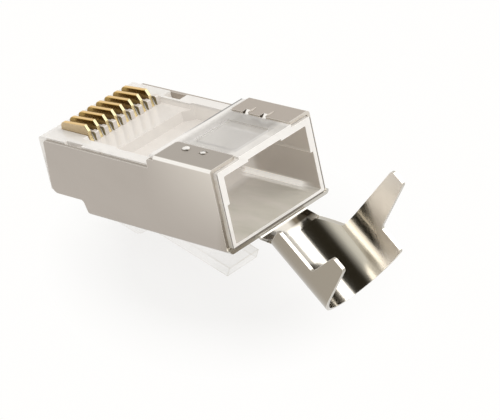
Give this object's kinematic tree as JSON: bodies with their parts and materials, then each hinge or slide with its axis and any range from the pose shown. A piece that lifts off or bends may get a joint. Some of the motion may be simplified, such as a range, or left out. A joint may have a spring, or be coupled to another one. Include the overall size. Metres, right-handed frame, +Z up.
{
  "type": "pass-through ethernet plug",
  "caption": "Clear eight-way modular plug in a folded metal shield, with a latch below, blade contacts on top, wire holes through the nose and a crimp tail for the cable.",
  "frame": {"origin": "middle of the box round the plug, on the table that the flat of its latch lies on", "axes": "+X from the nose towards the cable end, level with the table; +Y across the plug; +Z up from the table. The plug's own body leans 17 degrees, nose down, because it lies on its latch"},
  "size_m": [0.0338, 0.0116, 0.0142],
  "materials": {
    "clear_plastic": "clear moulded polycarbonate, slightly milky",
    "shield_metal": "satin nickel plate on thin brass sheet",
    "contact_gold": "thin gold plate on phosphor bronze"
  },
  "bodies": {
    "plug_body": {"shield": "shield_metal", "housing": "clear_plastic"},
    "latch": {"latch": "clear_plastic"},
    "contact_1": {"contact_1": "contact_gold"},
    "contact_2": {"contact_2": "contact_gold"},
    "contact_3": {"contact_3": "contact_gold"},
    "contact_4": {"contact_4": "contact_gold"},
    "contact_5": {"contact_5": "contact_gold"},
    "contact_6": {"contact_6": "contact_gold"},
    "contact_7": {"contact_7": "contact_gold"},
    "contact_8": {"contact_8": "contact_gold"}
  },
  "joints": [
    {"name": "latch_press", "type": "hinge", "parent": "plug_body", "child": "latch", "pos_m": [-0.01373, 0, 0.0005], "axis": [0, -1, 0], "range_deg": [0, 12], "stiffness_Nm_per_rad": 0.3},
    {"name": "contact_1_press", "type": "slide", "parent": "plug_body", "child": "contact_1", "axis": [0.2924, 0, -0.9563], "range_m": [0, 0.0013]},
    {"name": "contact_2_press", "type": "slide", "parent": "plug_body", "child": "contact_2", "axis": [0.2924, 0, -0.9563], "range_m": [0, 0.0013]},
    {"name": "contact_3_press", "type": "slide", "parent": "plug_body", "child": "contact_3", "axis": [0.2924, 0, -0.9563], "range_m": [0, 0.0013]},
    {"name": "contact_4_press", "type": "slide", "parent": "plug_body", "child": "contact_4", "axis": [0.2924, 0, -0.9563], "range_m": [0, 0.0013]},
    {"name": "contact_5_press", "type": "slide", "parent": "plug_body", "child": "contact_5", "axis": [0.2924, 0, -0.9563], "range_m": [0, 0.0013]},
    {"name": "contact_6_press", "type": "slide", "parent": "plug_body", "child": "contact_6", "axis": [0.2924, 0, -0.9563], "range_m": [0, 0.0013]},
    {"name": "contact_7_press", "type": "slide", "parent": "plug_body", "child": "contact_7", "axis": [0.2924, 0, -0.9563], "range_m": [0, 0.0013]},
    {"name": "contact_8_press", "type": "slide", "parent": "plug_body", "child": "contact_8", "axis": [0.2924, 0, -0.9563], "range_m": [0, 0.0013]}
  ]
}
